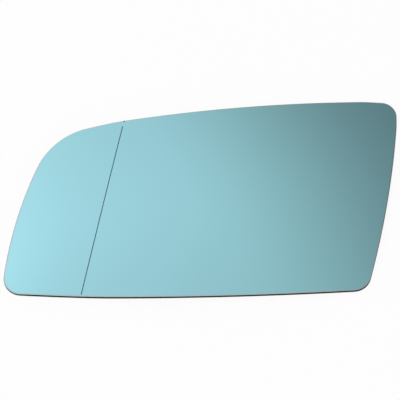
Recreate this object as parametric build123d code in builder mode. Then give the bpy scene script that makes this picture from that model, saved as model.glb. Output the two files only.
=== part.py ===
from build123d import *
import os
from math import asin, ceil, cos, degrees, radians, sin

# Door mirror glass for the left-hand door of a car: one pane of bent, coated glass.
# Inboard of a fine line the front is part of a sphere. Outboard of it the front bends away
# faster and faster, to widen the view. All sizes are in millimetres.
# The pane lies face up on its rim, with the outboard end towards -X and the top towards +Y.

# Where the sides would meet in plan, before the corners are rounded
outboard_foot_x = -94.78
outboard_foot_y = -48.9
outboard_head_x = -72.75
outboard_head_y = 31.5
shoulder_x = -42.0
shoulder_y = 39.1
top_turn_x = 78.5
top_turn_y = 51.73
inboard_head_x = 94.02
inboard_head_y = 51.23
inboard_turn_x = 93.79
inboard_turn_y = 38.5
inboard_foot_x = 76.55
inboard_foot_y = -47.1
bottom_turn_x = -44.7
bottom_turn_y = -51.95

# How far each side bows out from the straight line between its two corners
outboard_bow = 4.36
shoulder_bow = 0.2
top_bow = 1.73
top_turn_bow = 0.1
inboard_turn_bow = 0.1
inboard_bow = 2.0
bottom_bow = 1.5
bottom_turn_bow = 0.5

# Rounding of the corners in plan
outboard_foot_radius = 8.8
outboard_head_radius = 33.8
shoulder_radius = 100.0
top_turn_radius = 60.0
inboard_head_radius = 7.0
inboard_turn_radius = 60.0
inboard_foot_radius = 9.0
bottom_turn_radius = 80.0

# The sheet: thickness, front radius, and where its crown lies in plan
glass_thickness = 2.0
dome_radius = 1260.0
crown_x = -14.54
crown_y = 19.82

# The rim is ground: the corners between the wall and the two faces are taken off
front_arris = 0.5
back_arris = 0.3

# The dividing line: where it crosses the X axis, how it slants from +X, and its cut
line_x = -46.85
line_slant = 78.35
line_width = 0.45
line_depth = 0.1
line_top_gap = 3.4
line_bottom_gap = 1.05

# Outboard of the line the curvature grows by this much for each millimetre
curvature_growth = 9.6e-5

# Spacing of the sections the sheet is lofted through, and how far it reaches past the outline
section_step = 8.0
trim = 10.0

# A face is wall or sheet by how far its normal points up or down
wall_tilt = 0.5
sheet_tilt = 0.9

with BuildSketch() as outline:
    with BuildLine():
        SagittaArc((outboard_foot_x, outboard_foot_y), (outboard_head_x, outboard_head_y), outboard_bow)
        SagittaArc((outboard_head_x, outboard_head_y), (shoulder_x, shoulder_y), shoulder_bow)
        SagittaArc((shoulder_x, shoulder_y), (top_turn_x, top_turn_y), top_bow)
        SagittaArc((top_turn_x, top_turn_y), (inboard_head_x, inboard_head_y), top_turn_bow)
        SagittaArc((inboard_head_x, inboard_head_y), (inboard_turn_x, inboard_turn_y), inboard_turn_bow)
        SagittaArc((inboard_turn_x, inboard_turn_y), (inboard_foot_x, inboard_foot_y), inboard_bow)
        SagittaArc((inboard_foot_x, inboard_foot_y), (bottom_turn_x, bottom_turn_y), bottom_bow)
        SagittaArc((bottom_turn_x, bottom_turn_y), (outboard_foot_x, outboard_foot_y), bottom_turn_bow)
    make_face()
    for corner_x, corner_y, corner_radius in (
        (outboard_foot_x, outboard_foot_y, outboard_foot_radius),
        (outboard_head_x, outboard_head_y, outboard_head_radius),
        (shoulder_x, shoulder_y, shoulder_radius),
        (top_turn_x, top_turn_y, top_turn_radius),
        (inboard_head_x, inboard_head_y, inboard_head_radius),
        (inboard_turn_x, inboard_turn_y, inboard_turn_radius),
        (inboard_foot_x, inboard_foot_y, inboard_foot_radius),
        (bottom_turn_x, bottom_turn_y, bottom_turn_radius),
    ):
        corner = outline.vertices().sort_by_distance((corner_x, corner_y))[0]
        fillet(corner, corner_radius)

# Directions in plan: up the dividing line, and square to it towards the outboard end
up = Vector(0, 0, 1)
along = Vector(cos(radians(line_slant)), sin(radians(line_slant)), 0)
outboard = up.cross(along)
line_foot = Vector(line_x, 0, 0)
crown = Vector(crown_x, crown_y, 0)

# The outline measured along the line and square to it, and the sheet that has to cover it
line_frame = Plane(origin=line_foot, x_dir=along, z_dir=up)
reach = line_frame.to_local_coords(outline.sketch).bounding_box()
crown_height = (crown - line_foot).dot(along)
sheet_height = reach.size.X + 2 * trim
sheet_middle = reach.center().X - crown_height
inboard_steps = ceil((trim - reach.min.Y) / section_step)
outboard_steps = ceil((trim + reach.max.Y) / section_step)

# Where the dividing line, drawn on, would meet the outline, and where it stops short of it
with BuildLine():
    from_below = IntersectingLine(line_foot - along * sheet_height, along, outline.wire())
    from_above = IntersectingLine(line_foot + along * sheet_height, along * -1, outline.wire())
line_bottom = (from_below.position_at(1) - crown).dot(along) + line_bottom_gap
line_top = (from_above.position_at(1) - crown).dot(along) - line_top_gap

# The plane through the centre of the dome that cuts its front along the line
dome_centre = crown - up * dome_radius
bend_axis = Axis((0, 0, 0), along * -1)
line_tilt = asin((line_foot - crown).dot(outboard) / dome_radius)
line_normal = up.rotate(bend_axis, degrees(line_tilt))
line_plane = Plane(origin=dome_centre, x_dir=along, z_dir=along.cross(line_normal))

with BuildPart() as mirror_glass:
    # The bent sheet, lofted from the inboard end: spherical up to the line, then ever tighter
    normal = line_normal.rotate(bend_axis, -degrees(inboard_steps * section_step / dome_radius))
    front = dome_centre + normal * dome_radius
    for step in range(inboard_steps + outboard_steps + 1):
        section_centre = front - normal * dome_radius
        with BuildSketch(Plane(origin=section_centre, x_dir=along, z_dir=along.cross(normal))):
            Circle(dome_radius)
            Circle(dome_radius - glass_thickness, mode=Mode.SUBTRACT)
            with Locations((sheet_middle, dome_radius)):
                Rectangle(sheet_height, dome_radius, mode=Mode.INTERSECT)
        past_line = (step + 0.5 - inboard_steps) * section_step
        bend_radius = 1 / (1 / dome_radius + curvature_growth * max(past_line, 0))
        bend_centre = front - normal * bend_radius
        normal = normal.rotate(bend_axis, degrees(section_step / bend_radius))
        front = bend_centre + normal * bend_radius
    loft()

    # Cut to the outline, with the rim ground: first the front's edges, then the back's
    extrude(outline.sketch, amount=dome_radius, both=True, mode=Mode.INTERSECT)
    for facing, arris in ((1, front_arris), (-1, back_arris)):
        walls = mirror_glass.faces().filter_by(lambda face: abs(face.normal_at().Z) < wall_tilt)
        sheet = mirror_glass.faces().filter_by(lambda face: facing * face.normal_at().Z > sheet_tilt)
        rim_edges = (walls.edges() & sheet.edges()).sort_by(Axis.Y)
        chamfer(rim_edges, arris)

    # The dividing line, cut through the coat
    with BuildSketch(line_plane):
        Circle(dome_radius + glass_thickness)
        Circle(dome_radius - line_depth, mode=Mode.SUBTRACT)
        with Locations(((line_bottom + line_top) / 2, dome_radius)):
            Rectangle(line_top - line_bottom, dome_radius, mode=Mode.INTERSECT)
    extrude(amount=line_width / 2, both=True, mode=Mode.SUBTRACT)

# Set down on its rim, centred over the origin
box = mirror_glass.part.bounding_box()
mirror_glass.part.move(Location((-box.center().X, -box.center().Y, -box.min.Z)))
mirror_glass.part.label = "mirror_glass"

os.makedirs("parts", exist_ok=True)
export_step(mirror_glass.part, "parts/mirror_glass.step")
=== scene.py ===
from math import atan2, cos, pi, radians, sin, sqrt

import bmesh
import bpy
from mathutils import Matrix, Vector


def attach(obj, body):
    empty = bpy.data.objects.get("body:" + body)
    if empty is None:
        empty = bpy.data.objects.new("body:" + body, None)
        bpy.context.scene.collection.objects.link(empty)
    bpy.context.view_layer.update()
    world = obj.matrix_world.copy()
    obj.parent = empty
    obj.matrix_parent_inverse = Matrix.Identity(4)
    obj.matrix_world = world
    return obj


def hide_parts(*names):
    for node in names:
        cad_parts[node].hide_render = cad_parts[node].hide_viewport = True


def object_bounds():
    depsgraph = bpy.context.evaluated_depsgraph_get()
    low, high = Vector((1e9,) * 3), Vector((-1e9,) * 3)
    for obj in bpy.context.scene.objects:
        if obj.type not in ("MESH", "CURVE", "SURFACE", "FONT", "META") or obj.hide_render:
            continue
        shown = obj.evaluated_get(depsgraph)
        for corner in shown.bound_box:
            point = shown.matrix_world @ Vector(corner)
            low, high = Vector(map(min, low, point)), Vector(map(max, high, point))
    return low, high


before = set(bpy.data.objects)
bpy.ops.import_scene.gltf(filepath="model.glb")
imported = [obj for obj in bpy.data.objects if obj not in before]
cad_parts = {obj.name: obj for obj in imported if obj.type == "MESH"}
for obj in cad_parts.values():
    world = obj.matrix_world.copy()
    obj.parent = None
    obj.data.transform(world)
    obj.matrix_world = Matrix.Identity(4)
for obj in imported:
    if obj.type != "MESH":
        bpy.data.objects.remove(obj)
solid_low, solid_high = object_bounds()
scene = bpy.context.scene

MM = 0.001

# Outline of the pane in plan, counter-clockwise: where the sides would meet, how far each side
# bows out on its way to the next corner, and how each corner is rounded
OUTBOARD_FOOT = Vector((-94.78, -48.9, 0)) * MM
BOTTOM_TURN = Vector((-44.7, -51.95, 0)) * MM
INBOARD_FOOT = Vector((76.55, -47.1, 0)) * MM
INBOARD_TURN = Vector((93.79, 38.5, 0)) * MM
INBOARD_HEAD = Vector((94.02, 51.23, 0)) * MM
TOP_TURN = Vector((78.5, 51.73, 0)) * MM
SHOULDER = Vector((-42.0, 39.1, 0)) * MM
OUTBOARD_HEAD = Vector((-72.75, 31.5, 0)) * MM
CORNERS = (
    # corner, rounding, bow of the side that follows
    (OUTBOARD_FOOT, 8.8 * MM, 0.5 * MM),
    (BOTTOM_TURN, 80.0 * MM, 1.5 * MM),
    (INBOARD_FOOT, 9.0 * MM, 2.0 * MM),
    (INBOARD_TURN, 60.0 * MM, 0.1 * MM),
    (INBOARD_HEAD, 7.0 * MM, 0.1 * MM),
    (TOP_TURN, 60.0 * MM, 1.73 * MM),
    (SHOULDER, 100.0 * MM, 0.2 * MM),
    (OUTBOARD_HEAD, 33.8 * MM, 4.36 * MM),
)

# The bent sheet: thickness, front radius, crown in plan, and how it bends away past the line
THICKNESS = 2.0 * MM
DOME_RADIUS = 1260.0 * MM
CROWN = Vector((-14.54, 19.82, 0)) * MM
LINE_FOOT = Vector((-46.85, 0, 0)) * MM
LINE_SLANT = radians(78.35)
OUTBOARD_BEND = 16.0
ALONG = Vector((cos(LINE_SLANT), sin(LINE_SLANT), 0))
OUTBOARD = Vector((0, 0, 1)).cross(ALONG)

# Finishing: the rounding of the ground rim, front and back, the cut of the dividing line, and the nick
FRONT_ROUNDING = 0.7 * MM
BACK_ROUNDING = 0.4 * MM
ROUNDING_FACETS = 2
LINE_WIDTH = 0.45 * MM
LINE_DEPTH = 0.1 * MM
LINE_TOP_GAP = 3.4 * MM
LINE_BOTTOM_GAP = 1.05 * MM
NICK_WIDTH = 0.9 * MM
NICK_DEPTH = 0.7 * MM
CUT_TOLERANCE = 0.005 * MM

# Spacing of the mesh round the rim, the rings from the rim to the middle, and when two points are one
RIM_STEP = 1.6 * MM
RIM_TURN = radians(3)
RIM_STEPS_LEAST = 3
RINGS = 44
RIM_MERGE = 0.05 * MM
RING_MERGE = 0.001 * MM

# How far up a face points: the front or back beyond the first, the rounded corners beyond the second.
# Before the corners are rounded, a face is wall or sheet by the third.
FRONT_TILT = 0.97
RIM_TILT = 0.6
WALL_TILT = 0.5

# A face belongs to the groove within this share of its width, either side of the middle, and below
# this share of its depth
GROOVE_REACH = 0.51
GROOVE_FLOOR = 0.4

# Edges that turn by less than this are shaded smooth
SMOOTH_ANGLE = radians(12)

# Colours
OUTBOARD_BLUE = (0.374, 0.726, 0.813)
INBOARD_BLUE = (0.368, 0.726, 0.788)
OUTBOARD_ARRIS = (0.48, 0.63, 0.66)
# Painted shade: the arris at the inboard top corner, darkened for the dimmer light it reflects there
INBOARD_ARRIS_PAINTED_SHADE = (0.20, 0.285, 0.295)
# Smoky glass of the rim wall, made nearly black partly as painted shade of the shaded wall
EDGE_SMOKE_AND_SHADE = (0.011, 0.014, 0.015)
EDGE_BROWN = (0.019, 0.016, 0.014)
# Painted light: the wall's outboard foot, lightened where the light from the outboard side falls on it
PAINTED_LIGHT_CORNER = (0.165, 0.165, 0.16)
LINE_TEAL = (0.06, 0.140, 0.164)
LACQUER_GREY = (0.050, 0.052, 0.056)

# How far each colour varies
COAT_TINT = (0.1, 0.9)
COAT_UNEVEN = (-0.1, 0.1)
ARRIS_UNEVEN = (-0.08, 0.08)
LACQUER_SHADES = (0.85, 1.2)
LINE_SHADES = (0.9, 1.1)

# The roughness of each finish, from its smoothest to its roughest places, and the shine of the dull ones
COAT_ROUGHNESS = (0.015, 0.045)
ARRIS_ROUGHNESS = (0.36, 0.5)
EDGE_ROUGHNESS = (0.35, 0.65)
LACQUER_ROUGHNESS = (0.42, 0.58)
LINE_ROUGHNESS = (0.45, 0.6)
EDGE_GLOSS = 0.06
LINE_GLOSS = 0.2

# Where along the pane one colour changes into the next, and how much nearer the top edge counts as
# further along
COAT_CHANGE = (-30.0 * MM, 45.0 * MM)
# The run over which the arris darkens into painted shade, leaning towards the top edge
ARRIS_PAINTED_SHADE_CHANGE = (-30.0 * MM, 130.0 * MM)
ARRIS_PAINTED_SHADE_LEAN = 0.9
# The run over which the wall's outboard foot takes its painted light
PAINTED_LIGHT_CHANGE = (-95.0 * MM, -80.0 * MM)

# The part of the noise that is spread out into soft patches
PATCH_RANGE = (0.3, 0.7)

# The table: its size, its grey in the light, and how white it is where it is looked at
TABLE_SIZE = 8.0
TABLE_GREY = 0.9
TABLE_WHITE = 0.92

# The studio by direction, X inboard, Y to the top edge and Z up: where each change runs, and its light
CEILING_RUN = (-0.32, 0.32)
CEILING_LIGHT = (1.005, 0.588)
CORNER_LEAN = 0.724
CORNER_RUN = (0.271, 0.655)
CORNER_LIGHT = (1.0, 0.435)
BAND_SLANT = -0.15
BAND_PLACE = 0.388
BAND_RUN = (0.0, 0.16)
BAND_LIGHT = (1.03, 0.95)
WALL_RUN = (-0.6, 0.6)
WALL_LIGHT = (1.0, 0.7)
OVERHEAD_RUN = (0.68, 0.84)

# The lamp and the camera
LAMP_PLACE = Vector((-0.9, -0.4, 0.95))
LAMP_SIZE = 1.2
LAMP_POWER = 5.0
CAMERA_AIM = Vector((-1.88, -1.695, 4.083)) * MM
CAMERA_RISE = radians(65.12)
CAMERA_DISTANCE = 900.0 * MM
CAMERA_LENS = 169.95
CAMERA_SENSOR = 36.0
CAMERA_NEAR = 10.0 * MM


def deselect_objects():
    """Leaves nothing selected, so that an operator acts on the next piece alone."""
    bpy.ops.object.select_all(action="DESELECT")


def edit_mode():
    bpy.ops.object.mode_set(mode="EDIT")


def object_mode():
    bpy.ops.object.mode_set(mode="OBJECT")


def choose(obj, kind, wanted):
    """Selects just the vertices, edges or faces that wanted() picks, in edit mode."""
    bpy.ops.mesh.select_mode(type={"verts": "VERT", "edges": "EDGE", "faces": "FACE"}[kind])
    bpy.ops.mesh.select_all(action="DESELECT")
    mesh = bmesh.from_edit_mesh(obj.data)
    for item in getattr(mesh, kind):
        if wanted(item):
            item.select_set(True)
    bmesh.update_edit_mesh(obj.data)


def front_height(x, y, crown, line_foot):
    """Height of the front over the floor: a dome that bends away faster outboard of the line."""
    run = (x - crown.x) ** 2 + (y - crown.y) ** 2
    past_line = max(0.0, (Vector((x, y, 0)) - line_foot).dot(OUTBOARD))
    return solid_high.z - (DOME_RADIUS - sqrt(DOME_RADIUS ** 2 - run)) - OUTBOARD_BEND * past_line ** 3


def back_height(x, y, crown, line_foot):
    """Height of the back, a sheet's thickness behind the front."""
    step = 0.1 * MM
    here = front_height(x, y, crown, line_foot)
    slope_x = (front_height(x + step, y, crown, line_foot) - here) / step
    slope_y = (front_height(x, y + step, crown, line_foot) - here) / step
    return here - THICKNESS * sqrt(1 + slope_x ** 2 + slope_y ** 2)


def side_circle(start, end, bow):
    """Centre and radius of the arc from start to end that bows out by that much."""
    half = (end - start) / 2
    radius = (half.length_squared + bow ** 2) / (2 * bow)
    outward = Vector((half.y, -half.x, 0)).normalized()
    return start + half - outward * (radius - bow), radius


def corner_centre(before, after, corner, rounding):
    """Centre of the arc that rounds the corner and runs smoothly into the sides before and after it."""
    (centre_a, radius_a), (centre_b, radius_b) = before, after
    reach_a = radius_a - rounding
    reach_b = radius_b - rounding
    span = centre_b - centre_a
    apart = span.length
    forward = (apart ** 2 + reach_a ** 2 - reach_b ** 2) / (2 * apart)
    aside = sqrt(reach_a ** 2 - forward ** 2)
    axis = span / apart
    square = Vector((-axis.y, axis.x, 0))
    crossings = [centre_a + axis * forward + square * aside * sign for sign in (1, -1)]
    return min(crossings, key=lambda point: (point - corner).length)


def outline_arcs():
    """The arcs of the outline in turn: start point, centre and angle swept."""
    count = len(CORNERS)
    sides = [side_circle(CORNERS[i][0], CORNERS[(i + 1) % count][0], CORNERS[i][2]) for i in range(count)]
    rounds = [corner_centre(sides[i - 1], sides[i], CORNERS[i][0], CORNERS[i][1]) for i in range(count)]
    arcs = []

    def touch(side, middle):
        centre, radius = side
        return centre + (middle - centre).normalized() * radius

    def add(start, end, centre):
        a = start - centre
        b = end - centre
        sweep = (atan2(b.y, b.x) - atan2(a.y, a.x)) % (2 * pi)
        arcs.append((start, centre, sweep))

    for i in range(count):
        add(touch(sides[i - 1], rounds[i]), touch(sides[i], rounds[i]), rounds[i])
        add(touch(sides[i], rounds[i]), touch(sides[i], rounds[(i + 1) % count]), sides[i][0])
    return arcs


def make_pane():
    """The whole pane as one mesh: front, ground rim and back."""
    arcs = outline_arcs()
    deselect_objects()
    bpy.ops.mesh.primitive_plane_add(size=1 * MM)
    pane = bpy.context.object
    pane.name = "mirror_pane"
    pane.data.name = "mirror_pane"

    # The rim: one point, spun round arc after arc until it closes
    edit_mode()
    bpy.ops.mesh.select_all(action="SELECT")
    bpy.ops.mesh.merge(type="CENTER")
    bpy.ops.transform.translate(value=arcs[0][0])
    for start, centre, sweep in arcs:
        length = (start - centre).length * sweep
        steps = max(round(length / RIM_STEP), round(sweep / RIM_TURN), RIM_STEPS_LEAST)
        bpy.ops.mesh.spin(steps=steps, angle=sweep, center=centre, axis=(0, 0, -1))
    bpy.ops.mesh.select_all(action="SELECT")
    bpy.ops.mesh.remove_doubles(threshold=RIM_MERGE)
    object_mode()

    # Centred and sized on the solid's own box
    xs = [v.co.x for v in pane.data.vertices]
    ys = [v.co.y for v in pane.data.vertices]
    middle = Vector(((min(xs) + max(xs)) / 2, (min(ys) + max(ys)) / 2, 0))
    size = solid_high - solid_low
    crown = CROWN - middle
    line_foot = LINE_FOOT - middle
    edit_mode()
    bpy.ops.mesh.select_all(action="SELECT")
    bpy.ops.transform.translate(value=-middle)
    fit = (size.x / (max(xs) - min(xs)), size.y / (max(ys) - min(ys)), 1)
    bpy.ops.transform.resize(value=fit, center_override=(0, 0, 0))

    # The front: the rim drawn in to the middle, ring by ring, and then domed
    bpy.ops.mesh.select_mode(type="EDGE")
    bpy.ops.mesh.select_all(action="SELECT")
    for ring in range(RINGS):
        left = RINGS - ring
        bpy.ops.mesh.extrude_edges_move(TRANSFORM_OT_translate={"value": (0, 0, 0)})
        shrink = (left - 1) / left
        bpy.ops.transform.resize(value=(shrink, shrink, 1), center_override=(0, 0, 0))
    bpy.ops.mesh.select_all(action="SELECT")
    bpy.ops.mesh.remove_doubles(threshold=RING_MERGE)
    object_mode()
    for v in pane.data.vertices:
        v.co.z = front_height(v.co.x, v.co.y, crown, line_foot)

    # The thickness
    edit_mode()
    bpy.ops.mesh.select_mode(type="FACE")
    bpy.ops.mesh.select_all(action="SELECT")
    bpy.ops.mesh.extrude_region_move(TRANSFORM_OT_translate={"value": (0, 0, -THICKNESS)})
    object_mode()
    for v in pane.data.vertices:
        if v.select:
            v.co.z = back_height(v.co.x, v.co.y, crown, line_foot)
    edit_mode()
    bpy.ops.mesh.select_all(action="SELECT")
    bpy.ops.mesh.normals_make_consistent(inside=False)

    # The rim's two corners, rounded by grinding, more in front than behind
    for facing, rounding in ((1, FRONT_ROUNDING), (-1, BACK_ROUNDING)):

        def is_rim(edge):
            levels = sorted(facing * face.normal.z for face in edge.link_faces)
            return abs(levels[0]) < WALL_TILT < levels[-1]

        choose(pane, "edges", is_rim)
        bpy.ops.mesh.bevel(
            offset=rounding, offset_type="OFFSET", segments=ROUNDING_FACETS, profile=0.5, affect="EDGES"
        )
    object_mode()
    return pane, crown, line_foot


def cut_through(place, direction):
    """Cuts the chosen faces along a plane."""
    bpy.ops.mesh.bisect(plane_co=place, plane_no=direction, threshold=CUT_TOLERANCE)


def cut_dividing_line(pane, line_foot):
    """Cuts the dividing line into the front: a shallow groove that stops short of the rim."""

    def along(point):
        return (point - line_foot).dot(ALONG)

    def aside(point):
        return (point - line_foot).dot(OUTBOARD)

    crossings = []
    for edge in pane.data.edges:
        start, end = (pane.data.vertices[i].co for i in edge.vertices)
        if aside(start) * aside(end) < 0:
            crossings.append(along(start.lerp(end, aside(start) / (aside(start) - aside(end)))))
    rim_top = max(crossings)
    bottom = min(crossings) + LINE_BOTTOM_GAP
    top = rim_top - LINE_TOP_GAP

    def on_front(face):
        return face.normal.z > FRONT_TILT

    def in_strip(face):
        return on_front(face) and abs(aside(face.calc_center_median())) < LINE_WIDTH / 2

    def in_line(face):
        return in_strip(face) and bottom < along(face.calc_center_median()) < top

    edit_mode()
    for offset in (-LINE_WIDTH / 2, LINE_WIDTH / 2):
        choose(pane, "faces", on_front)
        cut_through(line_foot + OUTBOARD * offset, OUTBOARD)
    for end in (bottom, top):
        choose(pane, "faces", in_strip)
        cut_through(line_foot + ALONG * end, ALONG)
    choose(pane, "faces", in_line)
    bpy.ops.mesh.extrude_region_move(TRANSFORM_OT_translate={"value": (0, 0, -LINE_DEPTH)})

    # The nick on the rim, in line with the dividing line, where the cut was lined up
    def by_nick(face):
        place = face.calc_center_median()
        return face.normal.z > RIM_TILT and along(place) > top and abs(aside(place)) < 2 * RIM_STEP

    for offset in (-NICK_WIDTH / 2, NICK_WIDTH / 2):
        choose(pane, "faces", by_nick)
        cut_through(line_foot + OUTBOARD * offset, OUTBOARD)
    choose(pane, "faces", by_nick)
    cut_through(line_foot + ALONG * (rim_top - NICK_DEPTH), ALONG)
    object_mode()

    def in_groove(face):
        place = face.center
        within = bottom - LINE_DEPTH < along(place) < top + LINE_DEPTH
        return within and abs(aside(place)) < LINE_WIDTH * GROOVE_REACH

    def in_nick(face):
        return abs(aside(face.center)) < NICK_WIDTH / 2 and along(face.center) > rim_top - NICK_DEPTH

    return in_groove, in_nick


def finish_faces(pane, in_groove, in_nick, crown, line_foot):
    """Gives each face its finish by the way it points, and shades the pane."""
    coat, arris, edge, lacquer, line = range(5)
    groove_floor = LINE_DEPTH * GROOVE_FLOOR
    for face in pane.data.polygons:
        tilt = face.normal.z
        x, y, z = face.center
        if tilt > FRONT_TILT:
            face.material_index = coat
        elif tilt < -FRONT_TILT:
            face.material_index = lacquer
        elif abs(tilt) > RIM_TILT:
            face.material_index = arris
        else:
            face.material_index = edge
        sunk = front_height(x, y, crown, line_foot) - z
        if in_groove(face) and groove_floor < sunk < THICKNESS / 2:
            face.material_index = line
        if in_nick(face) and tilt > RIM_TILT:
            face.material_index = edge

    # How deep each point lies under the front, as a share of the thickness, for the grinding marks
    depth = pane.data.attributes.new("depth", "FLOAT", "POINT")
    for v in pane.data.vertices:
        depth.data[v.index].value = (front_height(v.co.x, v.co.y, crown, line_foot) - v.co.z) / THICKNESS
    deselect_objects()
    pane.select_set(True)
    bpy.context.view_layer.objects.active = pane
    bpy.ops.object.shade_smooth_by_angle(angle=SMOOTH_ANGLE)


def new_group(name, inputs, outputs):
    """An effect that several finishes share: a node group with named inputs and outputs."""
    group = bpy.data.node_groups.new(name, "ShaderNodeTree")
    for label, value in inputs:
        socket = group.interface.new_socket(label, in_out="INPUT", socket_type="NodeSocketFloat")
        socket.default_value = value
    for label in outputs:
        group.interface.new_socket(label, in_out="OUTPUT", socket_type="NodeSocketFloat")
    return group, group.nodes.new("NodeGroupInput"), group.nodes.new("NodeGroupOutput")


def feed(tree, value, socket):
    """Gives a socket its value: a colour or number as it is, or another node's result."""
    if isinstance(value, bpy.types.NodeSocket):
        tree.links.new(value, socket)
    elif isinstance(value, tuple):
        socket.default_value = (*value, 1)
    else:
        socket.default_value = value


def reckoned(tree, operation, *values):
    """The result of a sum, product or the like of results and plain numbers."""
    node = tree.nodes.new("ShaderNodeMath")
    node.operation = operation
    for socket, value in zip(node.inputs, values):
        feed(tree, value, socket)
    return node.outputs["Value"]


def ranged(tree, value, result, run=(0.0, 1.0), eased=False):
    """A result that changes from one number to another while the value runs from start to end."""
    node = tree.nodes.new("ShaderNodeMapRange")
    if eased:
        node.interpolation_type = "SMOOTHSTEP"
    labels = ("From Min", "From Max", "To Min", "To Max")
    for label, number in zip(labels, (*run, *result)):
        feed(tree, number, node.inputs[label])
    tree.links.new(value, node.inputs["Value"])
    return node.outputs["Result"]


def between(tree, amount, low, high):
    """A colour between two, by an amount from 0 to 1."""
    mix = tree.nodes.new("ShaderNodeMix")
    mix.data_type = "RGBA"
    feed(tree, low, mix.inputs["A"])
    feed(tree, high, mix.inputs["B"])
    tree.links.new(amount, mix.inputs["Factor"])
    return mix.outputs["Result"]


def cloud_group():
    """Soft uneven patches, from 0 to 1."""
    group, given, result = new_group("soft_patches", [("Scale", 20.0), ("Detail", 3.0)], ["Amount"])
    place = group.nodes.new("ShaderNodeTexCoord")
    noise = group.nodes.new("ShaderNodeTexNoise")
    group.links.new(place.outputs["Object"], noise.inputs["Vector"])
    group.links.new(given.outputs["Scale"], noise.inputs["Scale"])
    group.links.new(given.outputs["Detail"], noise.inputs["Detail"])
    amount = ranged(group, noise.outputs["Fac"], (0.0, 1.0), PATCH_RANGE)
    group.links.new(amount, result.inputs["Amount"])
    return group


def end_to_end_group():
    """How far along the pane, from the outboard end at 0 to the inboard end at 1.

    With a lean, places nearer the top edge count as further along.
    """
    group, given, result = new_group(
        "end_to_end", [("Start", -50.0 * MM), ("End", 50.0 * MM), ("Lean", 0.0)], ["Amount"]
    )
    place = group.nodes.new("ShaderNodeTexCoord")
    split = group.nodes.new("ShaderNodeSeparateXYZ")
    group.links.new(place.outputs["Object"], split.inputs["Vector"])
    leaning = reckoned(group, "MULTIPLY_ADD", split.outputs["Y"], given.outputs["Lean"], split.outputs["X"])
    run = (given.outputs["Start"], given.outputs["End"])
    group.links.new(ranged(group, leaning, (0.0, 1.0), run, eased=True), result.inputs["Amount"])
    return group


def grinding_group():
    """Fine marks that run along the rim, left by the grinding belt, from 0 to 1."""
    group, given, result = new_group("grinding_marks", [("Lines", 14.0), ("Length", 60.0)], ["Amount"])
    place = group.nodes.new("ShaderNodeTexCoord")
    split = group.nodes.new("ShaderNodeSeparateXYZ")
    depth = group.nodes.new("ShaderNodeAttribute")
    depth.attribute_name = "depth"
    join = group.nodes.new("ShaderNodeCombineXYZ")
    noise = group.nodes.new("ShaderNodeTexNoise")
    noise.inputs["Scale"].default_value = 1.0
    noise.inputs["Detail"].default_value = 4.0
    group.links.new(place.outputs["Object"], split.inputs["Vector"])
    for axis, way, closeness in (
        ("X", split.outputs["X"], given.outputs["Length"]),
        ("Y", split.outputs["Y"], given.outputs["Length"]),
        ("Z", depth.outputs["Fac"], given.outputs["Lines"]),
    ):
        group.links.new(reckoned(group, "MULTIPLY", way, closeness), join.inputs[axis])
    group.links.new(join.outputs["Vector"], noise.inputs["Vector"])
    group.links.new(noise.outputs["Fac"], result.inputs["Amount"])
    return group


def new_finish(name):
    """A material with only a Principled shader, and its node tree."""
    finish = bpy.data.materials.new(name)
    finish.use_nodes = True
    tree = finish.node_tree
    return finish, tree, tree.nodes["Principled BSDF"]


def place_group(tree, group, **values):
    """Puts a shared effect into a finish, with its settings, and hands on its result."""
    node = tree.nodes.new("ShaderNodeGroup")
    node.node_tree = group
    for label, value in values.items():
        node.inputs[label].default_value = value
    return node.outputs["Amount"]


def bumped(tree, amount, strength, distance):
    """A surface raised and sunk a little by an amount."""
    bump = tree.nodes.new("ShaderNodeBump")
    bump.inputs["Strength"].default_value = strength
    bump.inputs["Distance"].default_value = distance
    tree.links.new(amount, bump.inputs["Height"])
    return bump.outputs["Normal"]


def shade(colour, share):
    """The same colour, darker or lighter."""
    return tuple(channel * share for channel in colour)


def blue_mirror_coat(ends, patches):
    """Polished blue mirror, a touch greener towards the inboard end, with the faintest unevenness."""
    finish, tree, surface = new_finish("blue_mirror_coat")
    start, end = COAT_CHANGE
    inboard = place_group(tree, ends, Start=start, End=end)
    tint = place_group(tree, patches, Scale=14.0, Detail=2.0)
    amount = reckoned(tree, "ADD", ranged(tree, inboard, COAT_TINT), ranged(tree, tint, COAT_UNEVEN))
    tree.links.new(between(tree, amount, OUTBOARD_BLUE, INBOARD_BLUE), surface.inputs["Base Color"])
    haze = place_group(tree, patches, Scale=60.0, Detail=5.0)
    tree.links.new(ranged(tree, haze, COAT_ROUGHNESS), surface.inputs["Roughness"])
    surface.inputs["Metallic"].default_value = 1.0
    return finish


def ground_arris(ends, patches, marks):
    """The fine rounded corner of the rim: satin, with painted shade darkening it towards the inboard top
    corner.
    """
    finish, tree, surface = new_finish("ground_arris")
    # Painted shade: the arris colour darkens towards the inboard top corner
    start, end = ARRIS_PAINTED_SHADE_CHANGE
    inboard = place_group(tree, ends, Start=start, End=end, Lean=ARRIS_PAINTED_SHADE_LEAN)
    worn = place_group(tree, patches, Scale=160.0, Detail=4.0)
    lines = place_group(tree, marks, Lines=40.0, Length=80.0)
    amount = reckoned(tree, "ADD", inboard, ranged(tree, worn, ARRIS_UNEVEN))
    tree.links.new(between(tree, amount, OUTBOARD_ARRIS, INBOARD_ARRIS_PAINTED_SHADE), surface.inputs["Base Color"])
    tree.links.new(ranged(tree, lines, ARRIS_ROUGHNESS), surface.inputs["Roughness"])
    tree.links.new(bumped(tree, lines, strength=0.2, distance=0.02 * MM), surface.inputs["Normal"])
    surface.inputs["Metallic"].default_value = 1.0
    return finish


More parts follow.
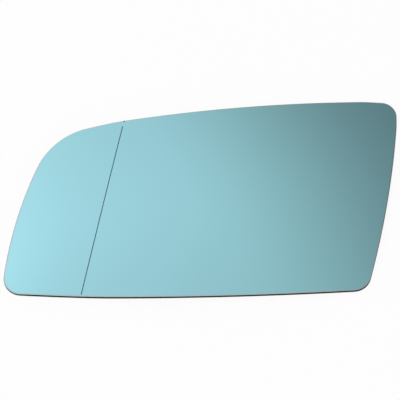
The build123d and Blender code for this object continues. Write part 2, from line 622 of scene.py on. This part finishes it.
def ground_edge(ends, patches, marks):
    """Rim wall: smoky glass darkened partly by painted shade, marks along it, painted light at the outboard
    foot.
    """
    finish, tree, surface = new_finish("ground_edge")
    smoke = place_group(tree, patches, Scale=18.0, Detail=3.0)
    lines = place_group(tree, marks, Lines=22.0, Length=60.0)
    # Painted light towards the outboard foot, over glass darkened partly by painted shade
    start, end = PAINTED_LIGHT_CHANGE
    inboard = place_group(tree, ends, Start=start, End=end)
    smoky_and_shaded = between(tree, smoke, EDGE_SMOKE_AND_SHADE, EDGE_BROWN)
    tree.links.new(between(tree, inboard, PAINTED_LIGHT_CORNER, smoky_and_shaded), surface.inputs["Base Color"])
    tree.links.new(ranged(tree, lines, EDGE_ROUGHNESS), surface.inputs["Roughness"])
    tree.links.new(bumped(tree, lines, strength=0.5, distance=0.03 * MM), surface.inputs["Normal"])
    surface.inputs["Specular IOR Level"].default_value = EDGE_GLOSS
    return finish


def back_lacquer(patches):
    """Plain dark lacquer on the back, with a faint orange peel."""
    finish, tree, surface = new_finish("back_lacquer")
    mottle = place_group(tree, patches, Scale=30.0, Detail=4.0)
    peel = place_group(tree, patches, Scale=700.0, Detail=2.0)
    dark, light = (shade(LACQUER_GREY, share) for share in LACQUER_SHADES)
    grey = between(tree, mottle, dark, light)
    tree.links.new(grey, surface.inputs["Base Color"])
    tree.links.new(ranged(tree, mottle, LACQUER_ROUGHNESS), surface.inputs["Roughness"])
    tree.links.new(bumped(tree, peel, strength=0.2, distance=0.05 * MM), surface.inputs["Normal"])
    return finish


def etched_line(patches):
    """The dividing line: the coat cut through to dark glass."""
    finish, tree, surface = new_finish("etched_line")
    worn = place_group(tree, patches, Scale=220.0, Detail=3.0)
    dark, light = (shade(LINE_TEAL, share) for share in LINE_SHADES)
    teal = between(tree, worn, dark, light)
    tree.links.new(teal, surface.inputs["Base Color"])
    tree.links.new(ranged(tree, worn, LINE_ROUGHNESS), surface.inputs["Roughness"])
    surface.inputs["Specular IOR Level"].default_value = LINE_GLOSS
    return finish


def make_floor():
    """A plain white table that keeps the pane's shadow."""
    deselect_objects()
    bpy.ops.mesh.primitive_plane_add(size=TABLE_SIZE)
    floor = bpy.context.object
    floor.name = "table"
    finish, tree, surface = new_finish("white_table")
    tree.nodes.remove(surface)
    matt = tree.nodes.new("ShaderNodeBsdfDiffuse")
    matt.inputs["Color"].default_value = (TABLE_GREY, TABLE_GREY, TABLE_GREY, 1)
    white = tree.nodes.new("ShaderNodeEmission")
    seen = tree.nodes.new("ShaderNodeLightPath")
    looked_at = reckoned(tree, "MAXIMUM", seen.outputs["Is Camera Ray"], seen.outputs["Is Glossy Ray"])
    looked_at = reckoned(tree, "MAXIMUM", looked_at, seen.outputs["Is Transmission Ray"])
    blend = tree.nodes.new("ShaderNodeMixShader")
    tree.links.new(reckoned(tree, "MULTIPLY", looked_at, TABLE_WHITE), blend.inputs["Fac"])
    tree.links.new(matt.outputs["BSDF"], blend.inputs[1])
    tree.links.new(white.outputs["Emission"], blend.inputs[2])
    tree.links.new(blend.outputs["Shader"], tree.nodes["Material Output"].inputs["Surface"])
    floor.data.materials.append(finish)


def make_studio():
    """Soft light from all round, which dims overhead towards the inboard top corner of the pane."""
    world = bpy.data.worlds.new("studio")
    scene.world = world
    world.use_nodes = True
    tree = world.node_tree
    sky = tree.nodes["Background"]
    sky.inputs["Color"].default_value = (1, 1, 1, 1)
    place = tree.nodes.new("ShaderNodeTexCoord")
    split = tree.nodes.new("ShaderNodeSeparateXYZ")
    tree.links.new(place.outputs["Generated"], split.inputs["Vector"])
    x, y, z = split.outputs

    # The ceiling: lighter outboard, dim over the inboard top corner, with one faint light band across
    fall = ranged(tree, x, CEILING_LIGHT, CEILING_RUN)
    towards_corner = reckoned(tree, "MULTIPLY_ADD", y, CORNER_LEAN, x)
    dim = ranged(tree, towards_corner, CORNER_LIGHT, CORNER_RUN, eased=True)
    slant = reckoned(tree, "MULTIPLY_ADD", x, BAND_SLANT, y)
    off_band = reckoned(tree, "ABSOLUTE", reckoned(tree, "SUBTRACT", slant, BAND_PLACE))
    band = ranged(tree, off_band, BAND_LIGHT, BAND_RUN, eased=True)
    ceiling = reckoned(tree, "MULTIPLY", reckoned(tree, "MULTIPLY", fall, dim), band)

    # The walls below it
    walls = ranged(tree, x, WALL_LIGHT, WALL_RUN, eased=True)
    overhead = ranged(tree, z, (0.0, 1.0), OVERHEAD_RUN, eased=True)
    mix = tree.nodes.new("ShaderNodeMix")
    mix.data_type = "FLOAT"
    tree.links.new(overhead, mix.inputs["Factor"])
    tree.links.new(walls, mix.inputs["A"])
    tree.links.new(ceiling, mix.inputs["B"])
    tree.links.new(mix.outputs["Result"], sky.inputs["Strength"])

    deselect_objects()
    bpy.ops.object.light_add(type="AREA", location=LAMP_PLACE)
    lamp = bpy.context.object
    lamp.name = "softbox"
    lamp.data.size = LAMP_SIZE
    lamp.data.energy = LAMP_POWER
    lamp.visible_glossy = False
    lamp.rotation_euler = (-LAMP_PLACE).to_track_quat("-Z", "Y").to_euler()


def make_camera():
    """Looks down on the pane from the side of its bottom edge."""
    deselect_objects()
    back = Vector((0, -cos(CAMERA_RISE), sin(CAMERA_RISE)))
    bpy.ops.object.camera_add(location=CAMERA_AIM + back * CAMERA_DISTANCE)
    camera = bpy.context.object
    camera.rotation_euler = (pi / 2 - CAMERA_RISE, 0, 0)
    camera.data.sensor_width = CAMERA_SENSOR
    camera.data.lens = CAMERA_LENS
    camera.data.clip_start = CAMERA_NEAR
    scene.camera = camera


pane, crown, line_foot = make_pane()
in_groove, in_nick = cut_dividing_line(pane, line_foot)
finish_faces(pane, in_groove, in_nick, crown, line_foot)
ends = end_to_end_group()
patches = cloud_group()
marks = grinding_group()
for finish in (
    blue_mirror_coat(ends, patches),
    ground_arris(ends, patches, marks),
    ground_edge(ends, patches, marks),
    back_lacquer(patches),
    etched_line(patches),
):
    pane.data.materials.append(finish)
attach(pane, "root")
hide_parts("mirror_glass")

make_floor()
make_studio()
make_camera()
scene.view_settings.view_transform = "Standard"
